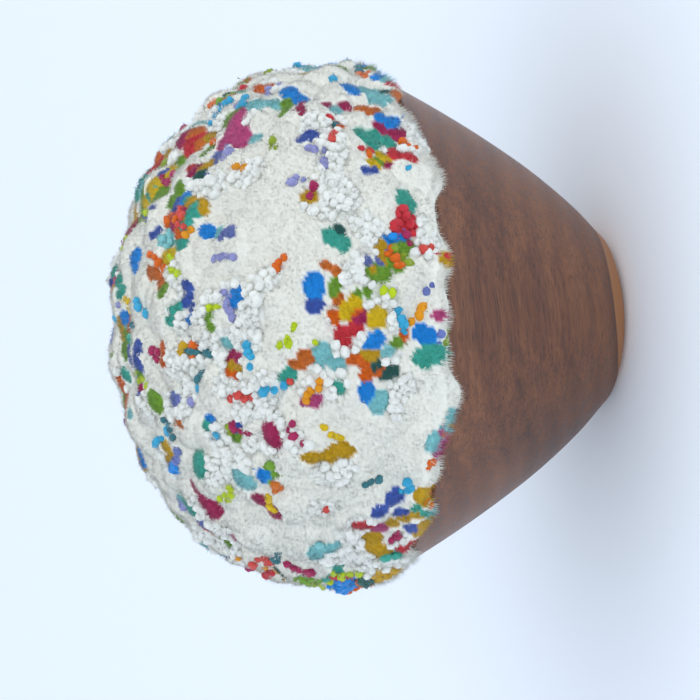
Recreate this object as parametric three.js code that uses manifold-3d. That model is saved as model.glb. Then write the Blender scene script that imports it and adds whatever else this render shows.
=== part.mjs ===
// A fiber sculpture to hang: a dome of tufted wool that swells out of a turned wooden bowl.
// The bowl is the frame. Its flat foot is the back of the piece, and the wool faces the room.
// Millimetres, +Z up. The back is the plane y = 0, and the sculpture stands out along -Y.
// A depth is a distance from the back, and a radius is a distance from the bowl's axis.

import * as THREE from "three";
import { mergeVertices } from "three/addons/utils/BufferGeometryUtils.js";
import Module from "manifold-3d";

const wasm = await Module();
wasm.setup();

// Driving dimensions of the bowl
const RIM_RADIUS = 74.5; // outside of the lip
const BOWL_DEPTH = 73; // from the back to the lip
const FOOT_RADIUS = 22.5; // the flat foot
const HEEL_RADIUS = 28.6; // where the side breaks to a flatter heel
const HEEL_DEPTH = 4.4;
const HEEL_SWELL = 0.5; // how far the heel bows out between its two edges
const SIDE_THICKNESS = 6.5; // wood at the lip, measured across the axis
const FLOOR_THICKNESS = 11; // wood between the back and the hollow
const FLOOR_SHARE = 0.28; // part of the hollow's depth in which its floor turns up
const LIP_ROUND = 1.6; // rounding on both edges of the lip
const BOWL_SEGMENTS = 72;
const SIDE_ROWS = 8;
const ROUND_ROWS = 3;

// Driving dimensions of the wool
const DOME_RADIUS = 76.6; // where the wool is widest
const DOME_WIDEST = 85.5; // depth of that place
const DOME_REACH = 147.2; // depth of the crown
const SEAT_GAP = 0.4; // between wool and wood
const TURNED_EDGE = 71.5; // depth at which the pile's edge turns in behind the lip
const TURNED_THICKNESS = 2.3; // pile outside the lip
const TURNED_CLEARANCE = 0.6; // between that pile and the side of the bowl
const DOME_SEGMENTS = 80;
const CROWN_ROWS = 24;
const BELLY_ROWS = 3;

// Lumps that the tufts bunch into
const LUMP_TRIES = 2500;
const LUMP_SPACING = 14; // two tops stand no closer than this
const LUMP_REACHES = [10.5, 14]; // radius of one lump's footprint
const LUMP_HEIGHTS = [2, 3.6];
const LUMP_SINK = 1.6; // the valleys lie this far inside the dome's smooth shape

// Locks of pile that hang over the lip
const LOCK_COUNT = 60;
const LOCK_SIDES = 4;
const LOCK_WIDTHS = [5, 7.4];
const LOCK_THICKNESS = 1.4;
const LOCK_TAPER = 0.35; // tip width as a share of the root's
const LOCK_CLEARANCE = 0.75; // between a lock and the side of the bowl
const LOCK_ROOT = 72.6; // depth of a lock's root, inside the turned edge
const LOCK_TIPS = [70.2, 66.8]; // depths of the shortest and the longest lock's tip

const SIDE_SAMPLE_COUNT = 240;
const MERGE_DISTANCE = 1e-3;
const QUARTER_TURN = Math.PI / 2;
const FULL_TURN = Math.PI * 2;

const { lerp } = THREE.MathUtils;

// The bowl's outer side, from the foot to the lip.
const SIDE_STATIONS = [
  { depth: HEEL_DEPTH, radius: HEEL_RADIUS },
  { depth: 12, radius: 35.9 },
  { depth: 25, radius: 46.1 },
  { depth: 40, radius: 56 },
  { depth: 56, radius: 65.4 },
  { depth: BOWL_DEPTH, radius: RIM_RADIUS },
];
const sideCurve = new THREE.SplineCurve(SIDE_STATIONS.map(({ depth, radius }) => at(radius, depth)));
const SIDE_SAMPLES = sideCurve.getPoints(SIDE_SAMPLE_COUNT);

// Places on the hollow's side, as shares of its depth, closer together where its floor turns up.
const HOLLOW_SHARES = [0, 0.02, 0.07, 0.16, 0.28, 0.46, 0.64, 0.82];

const LIP_DEPTH = BOWL_DEPTH - LIP_ROUND; // where the lip's edges start to round over
const OUTER_LIP = sideRadius(LIP_DEPTH) - LIP_ROUND; // centres of the two roundings
const INNER_LIP = hollowRadius(LIP_DEPTH) + LIP_ROUND;
const HOLLOW_DEPTHS = HOLLOW_SHARES.map((share) => lerp(FLOOR_THICKNESS, LIP_DEPTH, share));

// A point of a profile that is turned about the Y axis.
function at(radius, depth) {
  return new THREE.Vector2(radius, -depth);
}

// The radius of the bowl's side at a depth, read between two of its samples.
function sideRadius(depth) {
  const next = SIDE_SAMPLES.findIndex((sample) => -sample.y >= depth);
  if (next < 0) return RIM_RADIUS;
  if (next === 0) return SIDE_SAMPLES[0].x;
  const before = SIDE_SAMPLES[next - 1];
  const after = SIDE_SAMPLES[next];
  return THREE.MathUtils.mapLinear(-depth, before.y, after.y, before.x, after.x);
}

// The radius of the hollow at a depth: the side less its thickness, closing to a round floor.
function hollowRadius(depth) {
  const rise = Math.max(depth - FLOOR_THICKNESS, 0) / (BOWL_DEPTH - FLOOR_THICKNESS);
  const open = Math.min(rise / FLOOR_SHARE, 1);
  return (sideRadius(depth) - SIDE_THICKNESS) * Math.sqrt(1 - (1 - open) ** 2);
}

// A quarter round about a point of the profile, clockwise from a start angle.
function quarterRound(radius, depth, size, start) {
  const round = new THREE.EllipseCurve(radius, -depth, size, size, start, start - QUARTER_TURN, true);
  return round.getPoints(ROUND_ROWS);
}

// The bowl from the floor of its hollow, over the lip and down the side to the middle of its foot.
function bowlProfile() {
  const hollow = HOLLOW_DEPTHS.map((depth) => at(hollowRadius(depth), depth));
  const lip = [
    ...quarterRound(OUTER_LIP, LIP_DEPTH, LIP_ROUND, 0),
    ...quarterRound(INNER_LIP, LIP_DEPTH, LIP_ROUND, -QUARTER_TURN),
  ].reverse();
  const side = [];
  for (let row = 1; row <= SIDE_ROWS; row++) {
    const depth = lerp(LIP_DEPTH, HEEL_DEPTH, row / SIDE_ROWS);
    side.push(at(sideRadius(depth), depth));
  }
  const heel = at((FOOT_RADIUS + HEEL_RADIUS) / 2 + HEEL_SWELL, HEEL_DEPTH / 2 - HEEL_SWELL);
  const foot = [heel, at(FOOT_RADIUS, 0), at(0, 0)];
  return [...hollow, ...lip, ...side, ...foot];
}

// The wool's outer face from the crown to the turned edge: a quarter oval, then a tucked belly.
function crownProfile() {
  const edge = sideRadius(TURNED_EDGE) + TURNED_CLEARANCE + TURNED_THICKNESS;
  const front = DOME_REACH - DOME_WIDEST;
  const back = DOME_WIDEST - TURNED_EDGE;
  const oval = new THREE.EllipseCurve(0, -DOME_WIDEST, DOME_RADIUS, front, -QUARTER_TURN, 0);
  const tuck = new THREE.EllipseCurve(edge, -DOME_WIDEST, DOME_RADIUS - edge, back, 0, QUARTER_TURN);
  const points = [...oval.getPoints(CROWN_ROWS), ...tuck.getPoints(BELLY_ROWS).slice(1)];
  points[0].x = 0;
  return points;
}

// The wool behind that face: in behind the lip, over it, and down the hollow to its floor.
function seatProfile() {
  const outside = sideRadius(TURNED_EDGE) + TURNED_CLEARANCE;
  const lip = quarterRound(INNER_LIP, LIP_DEPTH, LIP_ROUND + SEAT_GAP, -QUARTER_TURN);
  const hollow = HOLLOW_DEPTHS.map((depth) => {
    return at(Math.max(hollowRadius(depth) - SEAT_GAP, 0), depth + SEAT_GAP);
  });
  return [at(outside, TURNED_EDGE), at(outside, BOWL_DEPTH + SEAT_GAP), ...lip, ...hollow.reverse()];
}

// A repeatable number from 0 to 1 for one lump or lock, with a separate draw for each use.
function scatter(index, use) {
  const wave = 43758.5453 * Math.sin(12.9898 * index + 78.233 * use);
  return wave - Math.floor(wave);
}

// A place on the dome: how far along its axis, from 1 at the crown, and how far round.
function domePoint(along, turn) {
  const radius = DOME_RADIUS * Math.sqrt(1 - along * along);
  const depth = DOME_WIDEST + (DOME_REACH - DOME_WIDEST) * along;
  return new THREE.Vector3(radius * Math.cos(turn), -depth, radius * Math.sin(turn));
}

// Tops of the lumps, scattered over the dome and its belly without crowding.
function lumpTops() {
  const tops = [];
  const lowest = (TURNED_EDGE - DOME_WIDEST) / (DOME_REACH - DOME_WIDEST);
  for (let index = 0; index < LUMP_TRIES; index++) {
    const place = domePoint(lerp(lowest, 1, scatter(index, 1)), FULL_TURN * scatter(index, 2));
    if (tops.some((top) => top.place.distanceTo(place) < LUMP_SPACING)) continue;
    const reach = lerp(...LUMP_REACHES, scatter(index, 3));
    const height = lerp(...LUMP_HEIGHTS, scatter(index, 4));
    tops.push({ place, reach, height });
  }
  return tops;
}

// How far the pile stands above its valleys at a point: as far as the tallest lump over it.
function pileHeight(point, tops) {
  let tallest = 0;
  for (const { place, reach, height } of tops) {
    const away = point.distanceTo(place) / reach;
    if (away < 1) tallest = Math.max(tallest, height * (1 - away * away) ** 2);
  }
  return tallest;
}

// Raises the lumps on the rows of the outer face, short of its turned edge.
function raiseLumps(geometry, rowCount, faceRows) {
  const tops = lumpTops();
  const centre = new THREE.Vector3(0, -DOME_WIDEST, 0);
  const places = geometry.getAttribute("position");
  const point = new THREE.Vector3();
  for (let index = 0; index < places.count; index++) {
    if (index % rowCount >= faceRows - 1) continue;
    point.fromBufferAttribute(places, index);
    const outward = point.clone().sub(centre).normalize();
    point.addScaledVector(outward, pileHeight(point, tops) - LUMP_SINK);
    places.setXYZ(index, ...point);
  }
}

// A closed mesh as a solid that can be joined to others.
function solidFrom(geometry) {
  geometry.deleteAttribute("normal");
  geometry.deleteAttribute("uv");
  const merged = mergeVertices(geometry, MERGE_DISTANCE);
  const corners = merged.index.array;
  const triVerts = [];
  for (let start = 0; start < corners.length; start += 3) {
    const triangle = [...corners.slice(start, start + 3)];
    if (new Set(triangle).size === 3) triVerts.push(...triangle);
  }
  const vertProperties = merged.getAttribute("position").array;
  const mesh = new wasm.Mesh({ numProp: 3, vertProperties, triVerts: new Uint32Array(triVerts) });
  return new wasm.Manifold(mesh);
}

function geometryFrom(solid) {
  const { vertProperties, triVerts } = solid.getMesh();
  const geometry = new THREE.BufferGeometry();
  geometry.setAttribute("position", new THREE.BufferAttribute(vertProperties, 3));
  geometry.setIndex(new THREE.BufferAttribute(triVerts, 1));
  geometry.computeVertexNormals();
  return geometry;
}

// One lock: a flat four-sided strand from inside the pile to a free tip beside the bowl.
function lockGeometry(index) {
  const width = lerp(...LOCK_WIDTHS, scatter(index, 5));
  const tipDepth = lerp(...LOCK_TIPS, scatter(index, 6));
  const lift = LOCK_CLEARANCE + LOCK_THICKNESS / 2;
  const root = at(sideRadius(LOCK_ROOT) + lift, LOCK_ROOT);
  const tip = at(sideRadius(tipDepth) + lift, tipDepth);
  const middle = root.clone().lerp(tip, 0.5);
  const across = width / Math.SQRT2; // a square section's half diagonal
  const length = root.distanceTo(tip);
  const lock = new THREE.CylinderGeometry(across * LOCK_TAPER, across, length, LOCK_SIDES);
  lock.rotateY(Math.PI / LOCK_SIDES);
  lock.scale(1, 1, LOCK_THICKNESS / width);
  lock.rotateX(Math.atan2(tip.x - root.x, tip.y - root.y));
  lock.translate(0, middle.y, middle.x);
  lock.rotateY((FULL_TURN * (index + scatter(index, 7) / 2)) / LOCK_COUNT);
  return lock;
}

function woolGeometry() {
  const crown = crownProfile();
  const profile = [...crown, ...seatProfile()];
  const body = new THREE.LatheGeometry(profile, DOME_SEGMENTS);
  raiseLumps(body, profile.length, crown.length);
  let wool = solidFrom(body);
  for (let index = 0; index < LOCK_COUNT; index++) {
    wool = wool.add(solidFrom(lockGeometry(index)));
  }
  return geometryFrom(wool);
}

const oiledWood = new THREE.MeshStandardMaterial({ color: 0x6a4638, roughness: 0.45, metalness: 0 });
const creamWool = new THREE.MeshStandardMaterial({ color: 0xe6e4dc, roughness: 0.95, metalness: 0 });

const bowl = new THREE.Mesh(new THREE.LatheGeometry(bowlProfile(), BOWL_SEGMENTS), oiledWood);
bowl.name = "bowl";

const woolDome = new THREE.Mesh(woolGeometry(), creamWool);
woolDome.name = "wool_dome";

const sculpture = new THREE.Group();
sculpture.add(bowl, woolDome);

export default sculpture;
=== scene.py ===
"""Dresses the packed fiber sculpture: a turned wooden bowl and a dome of tufted wool.

Everything is in metres, in the part's own frame: +Z up, the bowl's flat foot on the plane y = 0,
and the wool towards -Y. A depth is a distance from that plane, and a radius is a distance from the Y axis.
"""

import logging
import math
from dataclasses import dataclass, field
from enum import Enum
from typing import Iterable, Sequence

import bmesh
import bpy
import numpy as np
from mathutils import Matrix, Vector, kdtree


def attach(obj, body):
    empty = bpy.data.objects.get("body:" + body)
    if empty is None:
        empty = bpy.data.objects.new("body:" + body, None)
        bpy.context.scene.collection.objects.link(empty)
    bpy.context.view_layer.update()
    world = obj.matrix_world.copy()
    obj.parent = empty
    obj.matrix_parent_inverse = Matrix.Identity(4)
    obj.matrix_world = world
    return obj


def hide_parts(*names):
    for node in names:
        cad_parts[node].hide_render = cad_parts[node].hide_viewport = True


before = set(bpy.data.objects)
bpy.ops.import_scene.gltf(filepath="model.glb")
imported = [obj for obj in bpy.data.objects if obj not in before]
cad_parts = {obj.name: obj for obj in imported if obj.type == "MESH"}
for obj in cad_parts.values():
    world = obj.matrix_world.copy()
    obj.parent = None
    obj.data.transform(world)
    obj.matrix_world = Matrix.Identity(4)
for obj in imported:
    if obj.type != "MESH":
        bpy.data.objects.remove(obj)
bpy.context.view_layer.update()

LOG = logging.getLogger("fiber_sculpture")
MM = 0.001
FULL_TURN = 2.0 * math.pi
GOLDEN_ANGLE = math.pi * (3.0 - math.sqrt(5.0))
IMAGE_SIDE = 700
PIECE_LIMIT = 190_000
BAKE_MAP = "OFBake"
TINT_LEAST = 0.9
TINT_RANGE = 0.1
CELL_EDGE = 0.12
CELL_SPAN = 0.7


class Pile(Enum):
    """How a tuft is finished."""

    CUT = 0
    LOOP = 1


class Yarn(Enum):
    """The dyed yarns, as sRGB colours that a dyer would mix."""

    CREAM = (250, 246, 231)
    WHITE = (248, 246, 236)
    MUSTARD = (210, 164, 22)
    ORANGE = (232, 106, 18)
    RUST = (216, 114, 38)
    AMBER = (240, 156, 18)
    YELLOW = (230, 192, 20)
    LIME = (194, 214, 24)
    GREEN = (122, 166, 50)
    OLIVE = (146, 166, 40)
    TEAL = (66, 174, 152)
    SLATE = (62, 124, 132)
    PINE = (46, 98, 90)
    AQUA = (138, 206, 206)
    TURQUOISE = (58, 174, 214)
    SKY = (28, 144, 226)
    ROYAL = (70, 98, 180)
    PERIWINKLE = (112, 126, 190)
    LAVENDER = (152, 152, 202)
    RASPBERRY = (176, 40, 90)
    PINK = (200, 76, 130)
    RED = (212, 50, 60)
    CORAL = (224, 80, 70)


YARNS = tuple(Yarn)
UNDYED = (YARNS.index(Yarn.CREAM), YARNS.index(Yarn.WHITE))
PATCH_YARNS = (
    Yarn.MUSTARD, Yarn.MUSTARD, Yarn.MUSTARD, Yarn.ORANGE, Yarn.ORANGE, Yarn.RUST, Yarn.YELLOW, Yarn.GREEN,
    Yarn.GREEN, Yarn.TEAL, Yarn.TEAL, Yarn.PINE, Yarn.AQUA, Yarn.AQUA, Yarn.SKY, Yarn.SKY, Yarn.ROYAL,
    Yarn.PERIWINKLE, Yarn.RASPBERRY, Yarn.RASPBERRY, Yarn.PINK, Yarn.RED,
)
CHAIN_YARNS = (
    Yarn.LIME, Yarn.YELLOW, Yarn.AMBER, Yarn.ORANGE, Yarn.TURQUOISE, Yarn.TURQUOISE, Yarn.PERIWINKLE,
    Yarn.LAVENDER, Yarn.RED, Yarn.CORAL, Yarn.OLIVE, Yarn.SLATE, Yarn.RASPBERRY,
)


def linear(srgb: Sequence[int]) -> tuple[float, float, float, float]:
    """Turns an sRGB colour into the linear RGBA that sockets and attributes take.

    Args:
        srgb: Red, green and blue from 0 to 255.
    Returns:
        Linear red, green, blue and an alpha of 1.
    """
    share = np.asarray(srgb, float) / 255.0
    level = np.where(share <= 0.04045, share / 12.92, ((share + 0.055) / 1.055) ** 2.4)
    return (*map(float, level), 1.0)


PALETTE = np.array([linear(each.value) for each in YARNS])


def unit(vectors: np.ndarray) -> np.ndarray:
    """Scales each row to length 1."""
    return vectors / np.linalg.norm(vectors, axis=1, keepdims=True)


def smooth_step(values: np.ndarray, low: float, high: float) -> np.ndarray:
    """Eases from 0 at low to 1 at high."""
    share = np.clip((values - low) / (high - low), 0.0, 1.0)
    return share * share * (3.0 - 2.0 * share)


def catmull(stations: Sequence[tuple[float, float]], per_span: int) -> np.ndarray:
    """Runs a smooth curve through stations.

    Args:
        stations: The points that the curve passes through.
        per_span: Steps between two neighbouring stations.
    Returns:
        Points along the curve, one a row.
    """
    known = np.asarray([stations[0], *stations, stations[-1]], float)
    points = []
    for before, start, end, after in zip(known, known[1:], known[2:], known[3:]):
        for step in range(per_span):
            t = step / per_span
            bend = (2 * before - 5 * start + 4 * end - after) * t * t
            turn = (3 * start - before - 3 * end + after) * t ** 3
            points.append(0.5 * (2 * start + (end - before) * t + bend + turn))
    points.append(known[-1])
    return np.asarray(points)


def add_piece(name: str, mesh: bpy.types.Mesh) -> bpy.types.Object:
    """Makes a mesh a piece of the object that moves with its one body.

    Args:
        name: The piece's name.
        mesh: Its finished mesh.
    Returns:
        The new object.
    """
    piece = bpy.data.objects.new(name, mesh)
    bpy.context.scene.collection.objects.link(piece)
    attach(piece, "root")
    LOG.info("%s: %d faces", name, len(mesh.polygons))
    return piece


def mesh_from_arrays(name: str, points: np.ndarray, triangles: np.ndarray) -> bpy.types.Mesh:
    """Joins many small shapes into one mesh.

    Args:
        name: The mesh's name.
        points: Corner places, one a row.
        triangles: Three corner numbers a row.
    Returns:
        The mesh.
    """
    mesh = bpy.data.meshes.new(name)
    mesh.vertices.add(len(points))
    mesh.vertices.foreach_set("co", points.astype(np.float32).ravel())
    mesh.loops.add(triangles.size)
    mesh.loops.foreach_set("vertex_index", triangles.astype(np.int32).ravel())
    mesh.polygons.add(len(triangles))
    mesh.polygons.foreach_set("loop_start", np.arange(0, triangles.size, 3, dtype=np.int32))
    mesh.update(calc_edges=True)
    return mesh


def spin_about_y(shape: bmesh.types.BMesh, line: list, steps: int) -> None:
    """Turns a line of vertices and edges once about the Y axis."""
    bmesh.ops.spin(
        shape,
        geom=line,
        cent=(0, 0, 0),
        axis=(0, 1, 0),
        angle=FULL_TURN,
        steps=steps,
        use_merge=True,
    )


def spun_mesh(
    name: str, profile: Iterable[tuple[float, float]], steps: int, sharp_deg: float
) -> bpy.types.Mesh:
    """Turns a profile about the Y axis into a closed body.

    Args:
        name: The mesh's name.
        profile: Radius and depth of each point, from the axis back to the axis.
        steps: Steps in the full turn.
        sharp_deg: Edges that bend more than this stay sharp.
    Returns:
        The mesh, smooth but for its sharp edges.
    """
    shape = bmesh.new()
    ring = [shape.verts.new((radius, -depth, 0.0)) for radius, depth in profile]
    edges = [shape.edges.new(pair) for pair in zip(ring, ring[1:])]
    spin_about_y(shape, ring + edges, steps)
    bmesh.ops.remove_doubles(shape, verts=shape.verts, dist=1e-6)
    bmesh.ops.recalc_face_normals(shape, faces=shape.faces)
    mesh = bpy.data.meshes.new(name)
    shape.to_mesh(mesh)
    shape.free()
    mesh.polygons.foreach_set("use_smooth", np.ones(len(mesh.polygons), bool))
    mesh.set_sharp_from_angle(angle=math.radians(sharp_deg))
    return mesh


class Nodes:
    """A short way to lay out one node tree."""

    def __init__(self, tree: bpy.types.NodeTree) -> None:
        """Keeps the tree to build in."""
        self.tree = tree

    def add(self, kind: str, **settings: object) -> bpy.types.Node:
        """Adds a node and gives it its settings."""
        node = self.tree.nodes.new(kind)
        for name, value in settings.items():
            setattr(node, name, value)
        return node

    def link(self, start: bpy.types.NodeSocket, end: bpy.types.NodeSocket) -> None:
        """Joins two sockets."""
        self.tree.links.new(start, end)

    def give(self, socket: bpy.types.NodeSocket, value: object) -> None:
        """Links a socket to another one, or sets its value."""
        if isinstance(value, bpy.types.NodeSocket):
            self.link(value, socket)
        else:
            socket.default_value = value

    def feed(self, node: bpy.types.Node, **inputs: object) -> bpy.types.Node:
        """Sets or links a node's inputs by name, with underscores for spaces.

        Args:
            node: The node to feed.
            inputs: A value, or the socket that the input is linked to.
        Returns:
            The same node.
        """
        for name, value in inputs.items():
            self.give(node.inputs[name.replace("_", " ")], value)
        return node

    def math(self, operation: str, first: object, second: object = 0.0) -> bpy.types.NodeSocket:
        """Works out one number from two numbers or sockets."""
        node = self.add("ShaderNodeMath", operation=operation)
        for socket, value in zip(node.inputs, (first, second)):
            self.give(socket, value)
        return node.outputs[0]

    def noise(self, place: bpy.types.NodeSocket, scale: float, detail: float) -> bpy.types.NodeSocket:
        """Gives a soft random value from 0 to 1 at a place."""
        node = self.add("ShaderNodeTexNoise")
        self.feed(node, Vector=place, Scale=scale, Detail=detail)
        return node.outputs["Fac"]

    def stretch(self, place: bpy.types.NodeSocket, scale: Sequence[float]) -> bpy.types.NodeSocket:
        """Scales a place along its axes."""
        node = self.add("ShaderNodeMapping")
        self.feed(node, Vector=place, Scale=scale)
        return node.outputs["Vector"]

    def ramp(
        self, value: bpy.types.NodeSocket, stops: Sequence[tuple[float, Sequence[float]]]
    ) -> bpy.types.NodeSocket:
        """Turns a value into a colour along named stops."""
        node = self.add("ShaderNodeValToRGB")
        marks = node.color_ramp.elements
        while len(marks) < len(stops):
            marks.new(0.5)
        for mark, (place, color) in zip(marks, stops):
            mark.position = place
            mark.color = color
        self.link(value, node.inputs["Fac"])
        return node.outputs["Color"]

    def blend(self, share: object, first: object, second: object, way: str = "MIX") -> bpy.types.NodeSocket:
        """Mixes two colours."""
        node = self.add("ShaderNodeMix", data_type="RGBA", blend_type=way)
        colors = [s for s in node.inputs if s.type == "RGBA"]
        for socket, value in zip((node.inputs[0], *colors), (share, first, second)):
            self.give(socket, value)
        return next(s for s in node.outputs if s.type == "RGBA")


def new_material(name: str) -> tuple[bpy.types.Material, Nodes, bpy.types.Node]:
    """Starts a material with its one shader.

    Args:
        name: The material's name.
    Returns:
        The material, its node layout and its shader.
    """
    material = bpy.data.materials.new(name)
    material.use_nodes = True
    nodes = Nodes(material.node_tree)
    return material, nodes, material.node_tree.nodes["Principled BSDF"]


@dataclass(frozen=True)
class OiledWood:
    """Satin hardwood with bowed growth layers, a pale band painted on the heel at the back as a highlight
    where it catches the light, and a band of painted shade along its edge.
    """

    dark: tuple[int, int, int] = (66, 39, 28)
    middle: tuple[int, int, int] = (109, 67, 45)
    light: tuple[int, int, int] = (140, 90, 58)
    pore: tuple[int, int, int] = (58, 34, 26)
    # Painted highlight: the pale colour mixed into the heel, which looks lighter only because it faces the
    # light.
    heel_highlight: tuple[int, int, int] = (196, 132, 76)
    heel_band_depth: float = 6.3 * MM
    ring_pitch: float = 5.5 * MM
    ring_bow: float = 5.5
    ring_crest: float = 12.0 * MM

    def material(self) -> bpy.types.Material:
        """Builds the finish.

        Returns:
            The material.
        """
        made, nodes, shader = new_material("oiled_wood")
        layers, grain = self.bent_grain(nodes)
        rings = nodes.math("PINGPONG", nodes.math("MULTIPLY", layers, 1 / self.ring_pitch), 1.0)
        streak = self.spread(nodes, nodes.noise(nodes.stretch(grain, (1, 1, 0.045)), 520.0, 5.0), 0.36, 0.64)
        hair = self.spread(nodes, nodes.noise(nodes.stretch(grain, (1, 1, 0.05)), 2200.0, 2.0), 0.36, 0.64)
        cloud = self.spread(nodes, nodes.noise(nodes.stretch(grain, (1, 1, 0.35)), 34.0, 4.0), 0.34, 0.66)
        tone = nodes.math("ADD", nodes.math("MULTIPLY", rings, -0.16), nodes.math("MULTIPLY", streak, 0.32))
        tone = nodes.math("ADD", tone, nodes.math("MULTIPLY", hair, 0.2))
        tone = nodes.math("ADD", nodes.math("ADD", tone, nodes.math("MULTIPLY", cloud, 0.4)), 0.1)
        stops = [(0.1, linear(self.dark)), (0.5, linear(self.middle)), (0.95, linear(self.light))]
        color = nodes.ramp(tone, stops)
        pores = nodes.noise(nodes.stretch(grain, (1, 1, 0.1)), 1700.0, 1.0)
        pore = self.spread(nodes, pores, 0.62, 0.68)
        color = nodes.blend(nodes.math("MULTIPLY", pore, 0.6), color, linear(self.pore))
        edge = nodes.math("ADD", layers, self.heel_band_depth)
        # Painted shade: the wood darkens over a band a few millimetres wide just in front of the pale heel,
        # standing in for the shade along that edge.
        shade = self.spread(nodes, edge, -4.0 * MM, -0.4 * MM)
        color = nodes.blend(nodes.math("MULTIPLY", shade, 0.35), color, linear(self.dark))
        # Painted highlight: the heel at the back is mixed towards the pale colour, standing in for the light
        # it catches.
        pale = self.spread(nodes, edge, -0.1 * MM, 0.4 * MM)
        color = nodes.blend(pale, color, nodes.blend(0.62, color, linear(self.heel_highlight)))
        rough = nodes.add("ShaderNodeMapRange")
        nodes.feed(rough, Value=streak, To_Min=0.4, To_Max=0.54)
        bump = nodes.add("ShaderNodeBump")
        height = nodes.math("ADD", nodes.math("MULTIPLY", pore, -0.6), nodes.math("MULTIPLY", hair, 0.3))
        nodes.feed(bump, Height=height, Strength=0.25, Distance=0.15 * MM)
        nodes.feed(shader, Base_Color=color, Roughness=rough.outputs["Result"])
        nodes.feed(shader, Normal=bump.outputs["Normal"])
        shader.inputs["Specular IOR Level"].default_value = 0.4
        shader.inputs["Coat Weight"].default_value = 0.12
        shader.inputs["Coat Roughness"].default_value = 0.3
        return made

    def bent_grain(self, nodes: Nodes) -> tuple[bpy.types.NodeSocket, bpy.types.NodeSocket]:
        """Lays the wood's growth layers behind one another, bowed as they run up and down.

        Args:
            nodes: The material's node layout.
        Returns:
            A depth across the layers, and a place whose Z runs with the grain.
        """
        place = nodes.add("ShaderNodeTexCoord").outputs["Object"]
        wander = nodes.add("ShaderNodeTexNoise")
        nodes.feed(wander, Vector=nodes.stretch(place, (1, 1, 0.6)), Scale=24.0, Detail=2.0)
        parts = nodes.add("ShaderNodeSeparateXYZ")
        nodes.link(place, parts.inputs[0])
        above = nodes.math("SUBTRACT", parts.outputs["Z"], self.ring_crest)
        climb = nodes.math("POWER", nodes.math("ABSOLUTE", above), 2.0)
        straight = nodes.math("SUBTRACT", parts.outputs["Y"], nodes.math("MULTIPLY", climb, self.ring_bow))
        drift = nodes.math("MULTIPLY", nodes.math("SUBTRACT", wander.outputs["Fac"], 0.5), 10 * MM)
        near = self.spread(nodes, parts.outputs["Y"], -14 * MM, -45 * MM)
        layers = nodes.math("ADD", straight, nodes.math("MULTIPLY", drift, near))
        grain = nodes.add("ShaderNodeCombineXYZ")
        nodes.feed(grain, X=parts.outputs["X"], Y=layers, Z=parts.outputs["Z"])
        return layers, grain.outputs[0]

    def spread(
        self, nodes: Nodes, value: bpy.types.NodeSocket, low: float, high: float
    ) -> bpy.types.NodeSocket:
        """Stretches a narrow range of values to 0 to 1."""
        node = nodes.add("ShaderNodeMapRange")
        nodes.feed(node, Value=value, From_Min=low, From_Max=high)
        return node.outputs["Result"]


def yarn_group() -> bpy.types.NodeTree:
    """Builds the shared look of dyed wool: heathered, and darkened towards a tuft's root by painted shade.

    Returns:
        The node group, from a yarn colour and a place along the tuft to a colour.
    """
    tree = bpy.data.node_groups.new("heathered_yarn", "ShaderNodeTree")
    tree.interface.new_socket("Yarn", in_out="INPUT", socket_type="NodeSocketColor")
    tree.interface.new_socket("Tip", in_out="INPUT", socket_type="NodeSocketFloat")
    tree.interface.new_socket("Root Shade", in_out="INPUT", socket_type="NodeSocketFloat")
    tree.interface.new_socket("Color", in_out="OUTPUT", socket_type="NodeSocketColor")
    nodes = Nodes(tree)
    given = nodes.add("NodeGroupInput")
    taken = nodes.add("NodeGroupOutput")
    place = nodes.add("ShaderNodeTexCoord").outputs["Object"]
    fleck = nodes.noise(place, 900.0, 2.0)
    # Painted shade: the colour falls from the tip down to Root Shade at the root, standing in for the shade
    # deep in the pile.
    depth = nodes.add("ShaderNodeMapRange")
    nodes.feed(depth, Value=given.outputs["Tip"], To_Min=given.outputs["Root Shade"], To_Max=1.0)
    heather = nodes.add("ShaderNodeMapRange")
    nodes.feed(heather, Value=fleck, From_Min=0.3, From_Max=0.7, To_Min=0.95, To_Max=1.02)
    level = nodes.math("MULTIPLY", depth.outputs["Result"], heather.outputs["Result"])
    scale = nodes.add("ShaderNodeVectorMath", operation="SCALE")
    nodes.link(given.outputs["Yarn"], scale.inputs[0])
    nodes.link(level, scale.inputs["Scale"])
    nodes.link(scale.outputs[0], taken.inputs["Color"])
    return tree


@dataclass(frozen=True)
class DyedWool:
    """Matt wool that reads its colour from the yarn of each tuft, with painted shade darkening it towards
    each tuft's root.
    """

    name: str
    group: bpy.types.NodeTree
    # How dark the painted shade at a tuft's root makes its yarn, as a share of the yarn's colour.
    root_shade: float
    sheen: float

    def material(self) -> bpy.types.Material:
        """Builds the finish.

        Returns:
            The material.
        """
        made, nodes, shader = new_material(self.name)
        yarn = nodes.add("ShaderNodeAttribute", attribute_name="yarn")
        tip = nodes.add("ShaderNodeAttribute", attribute_name="tip")
        look = nodes.add("ShaderNodeGroup", node_tree=self.group)
        nodes.feed(look, Yarn=yarn.outputs["Color"], Tip=tip.outputs["Fac"], Root_Shade=self.root_shade)
        nodes.feed(shader, Base_Color=look.outputs["Color"])
        shader.inputs["Roughness"].default_value = 0.9
        shader.inputs["Specular IOR Level"].default_value = 0.2
        shader.inputs["Sheen Weight"].default_value = self.sheen
        shader.inputs["Sheen Roughness"].default_value = 0.6
        return made


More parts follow.
